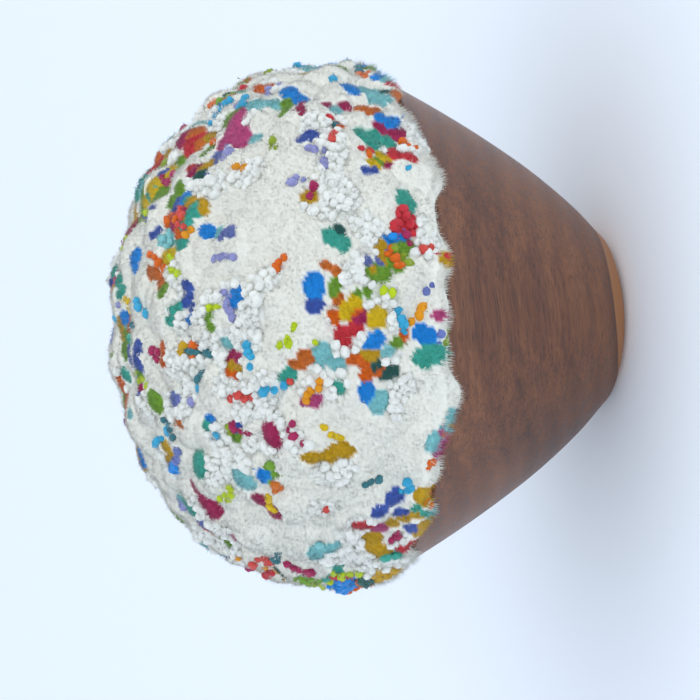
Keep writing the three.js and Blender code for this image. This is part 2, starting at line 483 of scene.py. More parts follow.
@dataclass
class Bowl:
    """The turned bowl, with the part's own profile and a finer turn."""

    finish: OiledWood
    rim_radius: float = 74.5 * MM
    depth: float = 73.0 * MM
    foot_radius: float = 22.5 * MM
    heel_swell: float = 0.5 * MM
    thickness: float = 6.5 * MM
    floor: float = 11.0 * MM
    floor_share: float = 0.28
    lip_round: float = 1.6 * MM
    stations_mm: tuple[tuple[float, float], ...] = (
        (28.6, 4.4), (35.9, 12.0), (46.1, 25.0), (56.0, 40.0), (65.4, 56.0), (74.5, 73.0),
    )
    steps: int = 144
    sharp_deg: float = 12.0
    side: np.ndarray = field(init=False)

    def __post_init__(self) -> None:
        """Runs the side's curve through its stations."""
        self.side = catmull(self.stations_mm, 12) * MM

    def side_radius(self, depth: np.ndarray) -> np.ndarray:
        """Gives the outer radius at each depth."""
        return np.interp(depth, self.side[:, 1], self.side[:, 0])

    def hollow_radius(self, depth: np.ndarray) -> np.ndarray:
        """Gives the hollow's radius at each depth."""
        rise = np.clip((depth - self.floor) / (self.depth - self.floor) / self.floor_share, 0.0, 1.0)
        return (self.side_radius(depth) - self.thickness) * np.sqrt(1.0 - (1.0 - rise) ** 2)

    def profile(self) -> list[tuple[float, float]]:
        """Lists the profile from the middle of the foot, over the lip, to the hollow's floor.

        Returns:
            Radius and depth of each point.
        """
        lip = self.depth - self.lip_round
        heel_radius, heel_depth = self.side[0]
        middle = ((self.foot_radius + heel_radius) / 2 + self.heel_swell, heel_depth / 2 - self.heel_swell)
        points = [(0.0, 0.0), (self.foot_radius, 0.0), middle]
        points += [(radius, depth) for radius, depth in self.side if depth < lip]
        turns = np.linspace(0.0, math.pi / 2, 7)
        outer = float(self.side_radius(lip)) - self.lip_round
        inner = float(self.hollow_radius(lip)) + self.lip_round
        points += [(outer + self.lip_round * math.cos(a), lip + self.lip_round * math.sin(a)) for a in turns]
        points += [(inner - self.lip_round * math.sin(a), lip + self.lip_round * math.cos(a)) for a in turns]
        depths = self.floor + (lip - self.floor) * np.linspace(1.0, 0.0, 28)[1:] ** 2
        points += [(float(self.hollow_radius(depth)), float(depth)) for depth in depths]
        return points

    def build(self) -> None:
        """Turns the bowl."""
        mesh = spun_mesh("turned_bowl", self.profile(), self.steps, self.sharp_deg)
        piece = add_piece("turned_bowl", mesh)
        self.dress(piece)
        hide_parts("bowl")

    def dress(self, piece: bpy.types.Object) -> None:
        """Gives the bowl its finish."""
        piece.data.materials.append(self.finish.material())


def scatter(index: int, use: int) -> float:
    """Draws the part's own repeatable number from 0 to 1 for one lump and one use."""
    wave = 43758.5453 * math.sin(12.9898 * index + 78.233 * use)
    return wave - math.floor(wave)


@dataclass
class PileForm:
    """The dome's outer face, with the same lumps as the part's solid and a scalloped edge."""

    bowl: Bowl
    radius: float = 76.6 * MM
    widest: float = 85.5 * MM
    reach: float = 147.2 * MM
    edge_depth: float = 71.5 * MM
    edge_lift: float = 0.4 * MM
    edge_round: float = 4.5 * MM
    lump_tries: int = 2500
    lump_spacing: float = 14.0 * MM
    lump_reaches: tuple[float, float] = (10.5 * MM, 14.0 * MM)
    lump_heights: tuple[float, float] = (2.0 * MM, 3.6 * MM)
    lump_sink: float = 1.6 * MM
    scallops: tuple[tuple[int, float, float], ...] = (
        (7, 1.3 * MM, 0.4), (13, 1.4 * MM, 2.1), (22, 1.0 * MM, 4.4), (37, 0.5 * MM, 1.3),
    )
    profile: np.ndarray = field(init=False)
    arc: np.ndarray = field(init=False)
    area: np.ndarray = field(init=False)
    lumps: list[tuple[np.ndarray, float, float]] = field(init=False)

    def __post_init__(self) -> None:
        """Measures the profile and scatters the lumps."""
        self.profile = self.meridian()
        steps = np.diff(self.profile, axis=0)
        lengths = np.hypot(steps[:, 0], steps[:, 1])
        middles = (self.profile[1:, 0] + self.profile[:-1, 0]) / 2
        self.arc = np.concatenate([[0.0], np.cumsum(lengths)])
        self.area = np.concatenate([[0.0], np.cumsum(FULL_TURN * middles * lengths)])
        self.lumps = self.lump_tops()

    def meridian(self) -> np.ndarray:
        """Lists radius and depth from the crown to the turned edge.

        Returns:
            The points, one a row.
        """
        front = self.reach - self.widest
        turn = np.linspace(0.0, math.pi / 2, 90)
        oval = np.stack([self.radius * np.sin(turn), self.widest + front * np.cos(turn)], 1)
        start = self.edge_depth + self.edge_round
        belly = np.stack([np.full(8, self.radius), np.linspace(self.widest, start, 9)[1:]], 1)
        rest = float(self.bowl.side_radius(self.edge_depth)) + self.edge_lift
        bend = np.linspace(0.0, math.pi / 2, 16)[1:]
        edge = np.stack(
            [rest + (self.radius - rest) * np.cos(bend), start - self.edge_round * np.sin(bend)], 1
        )
        return np.concatenate([oval, belly, edge])

    def lump_tops(self) -> list[tuple[np.ndarray, float, float]]:
        """Places the lumps as the part's source does.

        Returns:
            Each lump's top, reach and height.
        """
        tops: list[tuple[np.ndarray, float, float]] = []
        front = self.reach - self.widest
        lowest = (self.edge_depth - self.widest) / front
        for index in range(self.lump_tries):
            along = lowest + (1.0 - lowest) * scatter(index, 1)
            turn = FULL_TURN * scatter(index, 2)
            radius = self.radius * math.sqrt(1.0 - along * along)
            top = np.array([radius * math.cos(turn), -self.widest - front * along, radius * math.sin(turn)])
            if any(np.linalg.norm(top - other) < self.lump_spacing for other, _, _ in tops):
                continue
            reach = np.interp(scatter(index, 3), (0, 1), self.lump_reaches)
            height = np.interp(scatter(index, 4), (0, 1), self.lump_heights)
            tops.append((top, float(reach), float(height)))
        return tops

    def lump_height(self, points: np.ndarray) -> np.ndarray:
        """Gives the height of the tallest lump over each point."""
        tallest = np.zeros(len(points))
        for top, reach, height in self.lumps:
            away = np.sum((points - top) ** 2, axis=1) / reach ** 2
            tallest = np.maximum(tallest, height * np.clip(1.0 - away, 0.0, 1.0) ** 2)
        return tallest

    def surface(self, arc: np.ndarray, turn: np.ndarray) -> tuple[np.ndarray, np.ndarray]:
        """Finds places on the pile's outer face.

        Args:
            arc: Distance from the crown along the face.
            turn: Angle round the axis.
        Returns:
            The places and the ways out of the face there.
        """
        radius = np.interp(arc, self.arc, self.profile[:, 0])
        depth = np.interp(arc, self.arc, self.profile[:, 1])
        slope = np.gradient(self.profile, self.arc, axis=0)
        out_radius = -np.interp(arc, self.arc, slope[:, 1])
        out_depth = np.interp(arc, self.arc, slope[:, 0])
        low = smooth_step(-depth, -self.widest + 2 * MM, -self.edge_depth)
        shift = low * sum(size * np.sin(count * turn + phase) for count, size, phase in self.scallops)
        depth = depth + shift
        radius = radius + 0.535 * np.minimum(shift, 0.0) * low
        cos, sin = np.cos(turn), np.sin(turn)
        points = np.stack([radius * cos, -depth, radius * sin], 1)
        normals = unit(np.stack([out_radius * cos, -out_depth, out_radius * sin], 1))
        rise = (self.lump_height(points) - self.lump_sink) * self.freedom(arc)
        return points + normals * rise[:, None], normals

    def freedom(self, arc: np.ndarray) -> np.ndarray:
        """Says how freely the pile rises and falls: 1 on the dome, easing to 0 at the turned edge."""
        return 1.0 - smooth_step(arc, self.arc[-1] - 9 * MM, self.arc[-1] - 1 * MM)

    def soft_normals(self, points: np.ndarray, normals: np.ndarray, step: float = 0.5 * MM) -> np.ndarray:
        """Turns the face's ways out by the slope of its lumps.

        Args:
            points: Places on the face.
            normals: The ways out of the plain dome there.
            step: How far apart the heights are read.
        Returns:
            The ways out of the lumpy face.
        """
        first, second = sideways(normals, np.random.default_rng(3))
        height = self.lump_height(points)
        slope_first = (self.lump_height(points + first * step) - height) / step
        slope_second = (self.lump_height(points + second * step) - height) / step
        return unit(normals - first * slope_first[:, None] - second * slope_second[:, None])

    def even_sites(
        self, spacing: float, drift: float, rng: np.random.Generator
    ) -> tuple[np.ndarray, np.ndarray]:
        """Spreads sites evenly over the face, each moved a little.

        Args:
            spacing: Distance between neighbours.
            drift: How far a site may stray, as a share of the spacing.
            rng: The seeded draw.
        Returns:
            Each site's distance from the crown and its angle.
        """
        count = int(self.area[-1] / (0.866 * spacing ** 2))
        share = (np.arange(count) + 0.5) / count * self.area[-1]
        arc = np.interp(share, self.area, self.arc)
        turn = np.arange(count) * GOLDEN_ANGLE
        radius = np.maximum(np.interp(arc, self.arc, self.profile[:, 0]), spacing)
        arc = np.clip(arc + rng.normal(0.0, drift * spacing, count), 0.0, self.arc[-1])
        return arc, turn + rng.normal(0.0, drift * spacing, count) / radius


@dataclass(frozen=True)
class Tuft:
    """One round or oval spot of a single yarn."""

    place: np.ndarray
    ways: np.ndarray
    radii: np.ndarray
    yarn: int
    pile: Pile
    lift: float
    crown: float


@dataclass
class TuftPlan:
    """Which yarn and which finish each place on the dome has: a scatter with no picture in it."""

    form: PileForm
    seed: int = 41
    puff_spacing: float = 8.0 * MM
    puff_sizes: tuple[float, float] = (5.5 * MM, 8.0 * MM)
    puff_crown: float = 2.3 * MM
    patch_count: int = 285
    patch_sizes: tuple[float, float] = (1.8 * MM, 4.1 * MM)
    patch_tufts: tuple[int, ...] = (1, 1, 2, 2, 3, 4)
    yarn_change: float = 0.35
    loop_patch_share: float = 0.08
    bed_count: int = 100
    bed_sizes: tuple[float, float] = (3.0 * MM, 5.0 * MM)
    chain_count: int = 175
    chain_step: float = 2.05 * MM
    chain_drift: float = 0.35 * MM
    puffs: list[Tuft] = field(init=False)
    beds: list[Tuft] = field(init=False)
    patches: list[Tuft] = field(init=False)

    def __post_init__(self) -> None:
        """Draws the puffs of cream pile, the beds of white loops and the coloured patches, in that order."""
        rng = np.random.default_rng(self.seed)
        arcs, turns = self.form.even_sites(self.puff_spacing, 0.3, rng)
        self.puffs = self.tufts_at(rng, arcs, turns, self.puff_sizes, Yarn.CREAM, Pile.CUT, self.puff_crown)
        self.beds = []
        for _ in range(self.bed_count):
            self.beds += self.cluster(rng, rng.integers(1, 5), self.bed_sizes, (Yarn.WHITE,), Pile.LOOP)
        self.patches = []
        for _ in range(self.patch_count):
            pile = Pile.LOOP if rng.random() < self.loop_patch_share else Pile.CUT
            count = rng.choice(self.patch_tufts)
            self.patches += self.cluster(rng, count, self.patch_sizes, PATCH_YARNS, pile)

    def walk(
        self, rng: np.random.Generator, count: int, stride: float, wander: float
    ) -> tuple[np.ndarray, np.ndarray]:
        """Steps over the face from a random place.

        Args:
            rng: The seeded draw.
            count: How many places.
            stride: How far apart they are.
            wander: How much the heading turns at each step.
        Returns:
            Each place's distance from the crown and its angle.
        """
        arc = float(np.interp(rng.random() * self.form.area[-1], self.form.area, self.form.arc))
        turn, heading = FULL_TURN * rng.random(), FULL_TURN * rng.random()
        arcs, turns = [], []
        for _ in range(count):
            arcs.append(arc)
            turns.append(turn)
            heading += rng.normal(0.0, wander)
            radius = max(float(np.interp(arc, self.form.arc, self.form.profile[:, 0])), 4 * MM)
            arc = float(np.clip(arc + stride * math.cos(heading), 0.0, self.form.arc[-1] - 2 * MM))
            turn += stride * math.sin(heading) / radius
        return np.array(arcs), np.array(turns)

    def cluster(
        self,
        rng: np.random.Generator,
        count: int,
        sizes: tuple[float, float],
        yarns: Sequence[Yarn],
        pile: Pile,
    ) -> list[Tuft]:
        """Draws neighbouring tufts, mostly of one yarn.

        Args:
            rng: The seeded draw.
            count: How many tufts.
            sizes: Least and greatest radius.
            yarns: The yarns to draw from.
            pile: Their finish.
        Returns:
            The tufts.
        """
        size = rng.uniform(*sizes)
        arcs, turns = self.walk(rng, count, 1.45 * size, 1.1)
        yarn = yarns[rng.integers(len(yarns))]
        tufts = []
        for arc, turn in zip(arcs, turns):
            if rng.random() < self.yarn_change:
                yarn = yarns[rng.integers(len(yarns))]
            spread = (0.85 * size, 1.15 * size)
            tufts += self.tufts_at(rng, np.array([arc]), np.array([turn]), spread, yarn, pile, 0.9 * MM)
        return tufts

    def tufts_at(
        self,
        rng: np.random.Generator,
        arcs: np.ndarray,
        turns: np.ndarray,
        sizes: tuple[float, float],
        yarn: Yarn,
        pile: Pile,
        crown: float,
    ) -> list[Tuft]:
        """Makes one tuft at each place.

        Args:
            rng: The seeded draw.
            arcs: Each place's distance from the crown.
            turns: Each place's angle.
            sizes: Least and greatest radius.
            yarn: Their colour.
            pile: Their finish.
            crown: How far a tuft's middle stands above its edge.
        Returns:
            The tufts.
        """
        tufts = []
        for place, normal in zip(*self.form.surface(arcs, turns)):
            first = np.cross(normal, rng.normal(size=3))
            first /= np.linalg.norm(first)
            ways = np.stack([first, np.cross(normal, first)])
            radii = rng.uniform(*sizes) * np.array([rng.uniform(1.0, 1.4), rng.uniform(0.8, 1.0)])
            lift = -0.7 * crown - rng.uniform(0.0, 0.4) * MM
            tufts.append(Tuft(place, ways, radii, YARNS.index(yarn), pile, lift, crown))
        return tufts

    def read(
        self, points: np.ndarray, shrink: float = 1.0
    ) -> tuple[np.ndarray, np.ndarray, np.ndarray, np.ndarray]:
        """Reads the plan at places on the face.

        Args:
            points: The places.
            shrink: How far out a patch reaches, as a share of its size.
        Returns:
            Each place's yarn number, whether it is looped, its lift, and the lift's slope as a vector.
        """
        yarn = np.zeros(len(points), int)
        looped = np.zeros(len(points), bool)
        lift = np.full(len(points), -self.puff_crown * 0.7)
        slope = np.zeros((len(points), 3))
        for tufts in (self.puffs, self.beds, self.patches):
            closest = np.full(len(points), shrink if tufts is self.patches else 1.0)
            for tuft in tufts:
                offset = points - tuft.place
                near = np.flatnonzero(np.einsum("ij,ij->i", offset, offset) < (1.1 * tuft.radii[0]) ** 2)
                across = offset[near] @ tuft.ways.T / tuft.radii
                away = np.hypot(across[:, 0], across[:, 1])
                mine = away < closest[near]
                inside = near[mine]
                closest[inside] = away[mine]
                yarn[inside] = tuft.yarn
                looped[inside] = tuft.pile is Pile.LOOP
                lift[inside] = tuft.lift + tuft.crown * (1.0 - away[mine] ** 2)
                slope[inside] = -2.0 * tuft.crown * (across[mine] / tuft.radii) @ tuft.ways
        return yarn, looped, lift, slope

    def chains(self) -> tuple[np.ndarray, np.ndarray, np.ndarray]:
        """Draws short rows of coloured loops.

        Returns:
            Each loop's distance from the crown, its angle and its yarn number.
        """
        rng = np.random.default_rng(self.seed + 1)
        arcs, turns, yarns = [], [], []
        for _ in range(self.chain_count):
            yarn = YARNS.index(CHAIN_YARNS[rng.integers(len(CHAIN_YARNS))])
            row_arcs, row_turns = self.walk(rng, rng.integers(1, 6), self.chain_step, 0.8)
            arcs.append(row_arcs)
            turns.append(row_turns)
            yarns.append(np.full(len(row_arcs), yarn))
        stray = rng.normal(0.0, self.chain_drift, (2, sum(map(len, arcs))))
        arcs = np.maximum(np.concatenate(arcs) + stray[0], 0.0)
        return arcs, np.concatenate(turns) + stray[1] / self.form.radius, np.concatenate(yarns)


def set_wool_attributes(mesh: bpy.types.Mesh, color: np.ndarray, tip: np.ndarray) -> None:
    """Writes each vertex's yarn colour and its place along the tuft, which the finishes read."""
    shades = mesh.color_attributes.new("yarn", "FLOAT_COLOR", "POINT")
    shades.data.foreach_set("color", color.astype(np.float32).ravel())
    places = mesh.attributes.new("tip", "FLOAT", "POINT")
    places.data.foreach_set("value", tip.astype(np.float32))


def paint(
    mesh: bpy.types.Mesh, yarn: np.ndarray, tint: np.ndarray, tip: np.ndarray, corner: np.ndarray
) -> None:
    """Writes each vertex's yarn colour and place along its tuft, and a map laid out by yarn.

    Args:
        mesh: The mesh to paint.
        yarn: Yarn number of each vertex.
        tint: A draw from 0 to 1 for the whole tuft.
        tip: From 0 at the root to 1 at the tip.
        corner: A small offset that keeps faces apart on the map, two columns.
    """
    color = PALETTE[yarn].copy()
    color[:, :3] *= (TINT_LEAST + TINT_RANGE * tint)[:, None]
    set_wool_attributes(mesh, color, tip)
    across = math.ceil(math.sqrt(len(YARNS)))
    cell = np.stack([yarn % across, yarn // across], 1)
    inside = CELL_EDGE + CELL_SPAN * np.stack([tint, tip], 1) + corner
    corners = np.empty(len(mesh.loops), np.int32)
    mesh.loops.foreach_get("vertex_index", corners)
    layer = mesh.uv_layers.new(name=BAKE_MAP)
    layer.uv.foreach_set("vector", ((cell + inside) / across)[corners].astype(np.float32).ravel())


def soften(mesh: bpy.types.Mesh, normals: np.ndarray) -> None:
    """Shades a field of fine ends like the one soft face that they make together.

    Args:
        mesh: The joined ends.
        normals: The face's way out at each vertex.
    """
    mesh.polygons.foreach_set("use_smooth", np.ones(len(mesh.polygons), bool))
    mesh.normals_split_custom_set_from_vertices(normals.tolist())


def sideways(directions: np.ndarray, rng: np.random.Generator) -> tuple[np.ndarray, np.ndarray]:
    """Finds two directions square to each given one, turned at random."""
    first = unit(np.cross(directions, rng.normal(size=directions.shape)))
    return first, np.cross(directions, first)


@dataclass
class WoolDome:
    """The tufted wool: a skin, loops, cut pile, loose fibres and the fringe at the rim."""

    form: PileForm
    plan: TuftPlan
    loop_finish: DyedWool
    cut_finish: DyedWool
    seed: int = 7
    seat_gap: float = 0.4 * MM
    skin_rows: int = 140
    skin_steps: int = 400
    skin_sink: float = 0.75 * MM
    loop_sink: float = 1.3 * MM
    loop_spacing: float = 2.12 * MM
    loop_width: float = 1.26 * MM
    loop_height: float = 1.18 * MM
    loop_fibres: int = 7
    cream_spacing: float = 0.57 * MM
    dyed_spacing: float = 0.5 * MM
    cream_width: float = 0.17 * MM
    dyed_width: float = 0.23 * MM
    cut_depth: float = 1.5 * MM
    fuzz_spacing: float = 1.9 * MM
    fringe_count: int = 11000
    # The skin is coloured as at this place along a tuft, so the painted shade of the roots darkens it.
    skin_tip: float = 0.8
    skin_shrink: float = 0.88
    skin_sharp_deg: float = 60.0
    loop_fibre_lengths_mm: tuple[float, float] = (0.8, 1.3)
    loop_fibre_width: float = 0.12 * MM
    fuzz_lengths_mm: tuple[float, float] = (1.4, 2.8)
    fuzz_width: float = 0.06 * MM
    fringe_lengths_mm: tuple[float, float] = (1.4, 2.6)
    fringe_width: float = 0.1 * MM
    fringe_band_mm: float = 5.0
    rng: np.random.Generator = field(init=False)
    loop_look: bpy.types.Material = field(init=False)
    cut_look: bpy.types.Material = field(init=False)
    chain_tree: kdtree.KDTree = field(init=False)

    def dress(self, piece: bpy.types.Object, look: bpy.types.Material) -> None:
        """Gives a piece of wool its finish."""
        piece.data.materials.append(look)

    def build(self) -> None:
        """Makes every piece of the wool."""
        self.rng = np.random.default_rng(self.seed)
        self.loop_look = self.loop_finish.material()
        self.cut_look = self.cut_finish.material()
        self.build_skin()
        self.build_loops()
        self.build_cut_pile()
        self.build_fuzz()
        self.build_fringe()

    def skin_profile(self) -> list[tuple[float, float]]:
        """Lists the skin's profile from the crown, round the turned edge, to the bowl's floor.

        Returns:
            Radius and depth of each point.
        """
        bowl = self.form.bowl
        lip = bowl.depth - bowl.lip_round
        inner = float(bowl.hollow_radius(lip)) + bowl.lip_round
        round_size = bowl.lip_round + self.seat_gap
        turns = np.linspace(0.0, math.pi / 2, 5)
        over = [(inner - round_size * math.sin(a), lip + round_size * math.cos(a)) for a in turns]
        depths = bowl.floor + (lip - bowl.floor) * np.linspace(1.0, 0.0, 9)[1:] ** 2
        gap = self.seat_gap
        seat = [(max(float(bowl.hollow_radius(d)) - gap, 0.0), float(d) + gap) for d in depths]
        arcs = np.linspace(0.0, self.form.arc[-1], self.skin_rows)
        radii = np.interp(arcs, self.form.arc, self.form.profile[:, 0])
        crown = zip(radii, np.interp(arcs, self.form.arc, self.form.profile[:, 1]))
        outside = float(bowl.side_radius(self.form.edge_depth)) + gap / 2
        return [*((float(r), float(d)) for r, d in crown), (outside, bowl.depth + gap), *over, *seat]

    def build_skin(self) -> None:
        """Makes the closed body that the tufts stand on."""
        mesh = spun_mesh("wool_skin", self.skin_profile(), self.skin_steps, self.skin_sharp_deg)
        points = np.empty(len(mesh.vertices) * 3, np.float32)
        mesh.vertices.foreach_get("co", points)
        points = points.reshape(-1, 3).astype(float)
        radius = np.hypot(points[:, 0], points[:, 2])
        arc, gap = self.nearest_arc(radius, -points[:, 1])
        face = np.flatnonzero(gap < 0.05 * MM)
        turn = np.arctan2(points[face, 2], points[face, 0])
        place, normal = self.form.surface(arc[face], turn)
        yarn, looped, lift, _ = self.plan.read(place, self.skin_shrink)
        sink = np.where(looped, self.loop_sink, self.skin_sink)
        points[face] = place + normal * ((lift - sink) * self.form.freedom(arc[face]))[:, None]
        mesh.vertices.foreach_set("co", points.astype(np.float32).ravel())
        mesh.update()
        yarns = np.zeros(len(points), int)
        yarns[face] = yarn
        # Painted shade: the skin under the pile takes the darker colour of a tuft low down.
        set_wool_attributes(mesh, PALETTE[yarns], np.full(len(points), self.skin_tip))
        piece = add_piece("wool_skin", mesh)
        self.dress(piece, self.cut_look)
        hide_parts("wool_dome")

    def nearest_arc(self, radius: np.ndarray, depth: np.ndarray) -> tuple[np.ndarray, np.ndarray]:
        """Finds how far from the crown each profile point lies, and how far it is off the face."""
        arcs = np.linspace(0.0, self.form.arc[-1], 40 * self.skin_rows)
        face = kdtree.KDTree(len(arcs))
        radii = np.interp(arcs, self.form.arc, self.form.profile[:, 0])
        depths = np.interp(arcs, self.form.arc, self.form.profile[:, 1])
        for index, (r, d) in enumerate(zip(radii, depths)):
            face.insert((r, d, 0.0), index)
        face.balance()
        found = [face.find((r, d, 0.0)) for r, d in zip(radius, depth)]
        return arcs[[hit[1] for hit in found]], np.array([hit[2] for hit in found])

    def build_loops(self) -> None:
        """Makes the loops: rounded knobs of yarn in beds, patches and short rows."""
        arc, turn = self.form.even_sites(self.loop_spacing, 0.16, self.rng)
        place, normal = self.form.surface(arc, turn)
        yarn, looped, lift, _ = self.plan.read(place)
        place = place + normal * (lift * self.form.freedom(arc) + 0.6 * MM)[:, None]
        chain_arc, chain_turn, chain_yarn = self.plan.chains()
        chain_place, chain_normal = self.form.surface(chain_arc, chain_turn)
        _, _, chain_lift, _ = self.plan.read(chain_place)
        chain_place = chain_place + chain_normal * (chain_lift + 0.6 * MM)[:, None]
        tree = kdtree.KDTree(len(chain_place))
        for index, point in enumerate(chain_place):
            tree.insert(point, index)
        tree.balance()
        clear = np.array([tree.find(point)[2] > 0.8 * self.loop_spacing for point in place])
        keep = looped & clear
        self.chain_tree = tree
        places = np.concatenate([place[keep], chain_place])
        normals = np.concatenate([normal[keep], chain_normal])
        yarns = np.concatenate([yarn[keep], chain_yarn])
        plain = np.isin(yarns, UNDYED)
        self.join_loops("cream_loops", places[plain], normals[plain], yarns[plain])
        self.join_loops("dyed_loops", places[~plain], normals[~plain], yarns[~plain])
        self.build_loop_fibres(places, normals, yarns)

    def build_loop_fibres(self, places: np.ndarray, normals: np.ndarray, yarns: np.ndarray) -> None:
        """Makes the short fibres that stand out of the loops.

        Args:
            places: Where each loop's crown is.
            normals: The way out of the face there.
            yarns: Each loop's yarn number.
        """
        each = np.repeat(np.arange(len(places)), self.loop_fibres)
        out = unit(normals[each] + self.rng.normal(0.0, 0.6, (len(each), 3)))
        roots = places[each] - normals[each] * self.loop_height + out * self.loop_height * 0.7
        way = unit(out + self.rng.normal(0.0, 0.6, out.shape))
        length = self.rng.uniform(*self.loop_fibre_lengths_mm, len(each)) * MM
        self.join_fibres("loop_fibres", roots, way, length, self.loop_fibre_width, yarns[each], out)

    def join_loops(self, name: str, places: np.ndarray, normals: np.ndarray, yarns: np.ndarray) -> None:
        """Joins loops of one kind into a piece.

        Args:
            name: The piece's name.
            places: Where each loop's crown is.
            normals: The way out of the face there.
            yarns: Each loop's yarn number.
        """
        ball = bmesh.new()
        bmesh.ops.create_icosphere(ball, subdivisions=2, radius=1.0)
        knob = np.array([vert.co[:] for vert in ball.verts])
        faces = np.array([[vert.index for vert in face.verts] for face in ball.faces])
        ball.free()
        count = len(places)
        lean = unit(normals + self.rng.normal(0.0, 0.16, (count, 3)))
        first, second = sideways(lean, self.rng)
        size = np.clip(self.rng.normal(1.0, 0.14, count), 0.7, 1.4)
        lumpy = 1.0 + self.rng.normal(0.0, 0.11, (count, len(knob)))
        width = (self.loop_width * size)[:, None]
        shape = knob[None] * lumpy[:, :, None]
        longer = self.rng.uniform(0.95, 1.3, count)[:, None]
        centres = places - lean * (self.loop_height * 1.2 - self.rng.uniform(-0.4, 0.5, count) * MM)[:, None]
        points = centres[:, None] + (
            (shape[:, :, 0] * width * longer)[:, :, None] * first[:, None]
            + (shape[:, :, 1] * width / longer ** 0.5)[:, :, None] * second[:, None]
            + (shape[:, :, 2] * self.loop_height * size[:, None])[:, :, None] * lean[:, None]
        )
        triangles = faces[None] + (np.arange(count) * len(knob))[:, None, None]
        mesh = mesh_from_arrays(name, points.reshape(-1, 3), triangles.reshape(-1, 3))
        each = np.repeat(np.arange(count), len(knob))
        away = unit((points - centres[:, None]).reshape(-1, 3))
        soften(mesh, unit(0.6 * away + 0.5 * normals[each] + self.rng.normal(0.0, 0.2, away.shape)))
        tint = np.clip(self.rng.random(count)[each] + self.rng.normal(0.0, 0.25, len(each)), 0.0, 1.0)
        # Painted shade: each loop is coloured darker towards its underside, through the root shade, and laid
        # out on the map by the same value.
        tip = np.tile(0.5 + 0.5 * knob[:, 2], count)
        corner = np.tile(0.03 * knob[:, :2], (count, 1))
        paint(mesh, yarns[each], tint, tip, corner)
        self.dress(add_piece(name, mesh), self.loop_look)

    def build_cut_pile(self) -> None:
        """Makes the cut pile: cream first, then the dyed patches, which are packed closer."""
        self.cut_field("cream_pile", self.cream_spacing, self.cream_width, True)
        self.cut_field("dyed_pile", self.dyed_spacing, self.dyed_width, False)

    def cut_field(self, name: str, spacing: float, width: float, undyed: bool) -> None:
        """Makes the fine fibres of the undyed or of the dyed cut pile.

        Args:
            name: The pieces' name, before their number.
            spacing: Distance between neighbouring fibres.
            width: A fibre's radius at its root.
            undyed: Whether the undyed pile is made.
        """
        arc, turn = self.form.even_sites(spacing, 0.3, self.rng)
        place, normal = self.form.surface(arc, turn)
        yarn, looped, lift, slope = self.plan.read(place)
        wanted = np.flatnonzero(~looped & (np.isin(yarn, UNDYED) == undyed))
        clear = [self.chain_tree.find(point)[2] > 1.0 * MM for point in place[wanted]]
        keep = wanted[np.array(clear)]
        soft = unit(self.form.soft_normals(place[keep], normal[keep]) - slope[keep])
        rise = lift[keep] * self.form.freedom(arc[keep]) + self.rng.normal(0.0, 0.15, len(keep)) * MM
        tips = place[keep] + normal[keep] * rise[:, None]
        way = unit(soft + self.rng.normal(0.0, 0.32, soft.shape))
        length = self.cut_depth * self.rng.uniform(0.9, 1.15, len(keep))
        roots = tips - way * self.cut_depth
        shares = math.ceil(4 * len(keep) / PIECE_LIMIT)
        for number, each in enumerate(np.array_split(np.arange(len(keep)), shares), 1):
            self.join_fibres(
                f"{name}_{number}", roots[each], way[each], length[each], width, yarn[keep][each], soft[each]
            )

    def build_fuzz(self) -> None:
        """Makes the loose fibres that stand out of the whole face."""
        arc, turn = self.form.even_sites(self.fuzz_spacing, 0.4, self.rng)
        place, normal = self.form.surface(arc, turn)
        yarn, _, lift, _ = self.plan.read(place)
        way = unit(normal + self.rng.normal(0.0, 0.55, normal.shape))
        length = self.rng.uniform(*self.fuzz_lengths_mm, len(place)) * MM
        roots = place + normal * ((lift - 0.9 * MM) * self.form.freedom(arc))[:, None]
        self.join_fibres("loose_fibres", roots, way, length, self.fuzz_width, yarn, normal)

    def build_fringe(self) -> None:
        """Makes the longer fibres that lean out over the rim."""
        count = self.fringe_count
        arc = self.form.arc[-1] - self.rng.uniform(0.0, self.fringe_band_mm, count) * MM
        turn = self.rng.uniform(0.0, FULL_TURN, count)
        place, normal = self.form.surface(arc, turn)
        yarn, _, _, _ = self.plan.read(place)
        back = np.array([0.0, 1.0, 0.0])
        lean = self.rng.uniform(0.3, 1.1, count)[:, None]
        way = unit(normal + back * lean + self.rng.normal(0.0, 0.22, (count, 3)))
        wisp = 0.5 + 0.5 * np.sin(23 * turn + 2.0 * np.sin(5 * turn) + 1.5 * np.sin(9 * turn))
        length = self.rng.uniform(*self.fringe_lengths_mm, count) * (0.75 + 0.6 * wisp) * MM
        roots = place - normal * 0.8 * MM
        soft = np.stack([np.cos(turn), np.zeros(count), np.sin(turn)], 1)
        self.join_fibres("rim_fringe", roots, way, length, self.fringe_width, yarn, soft)

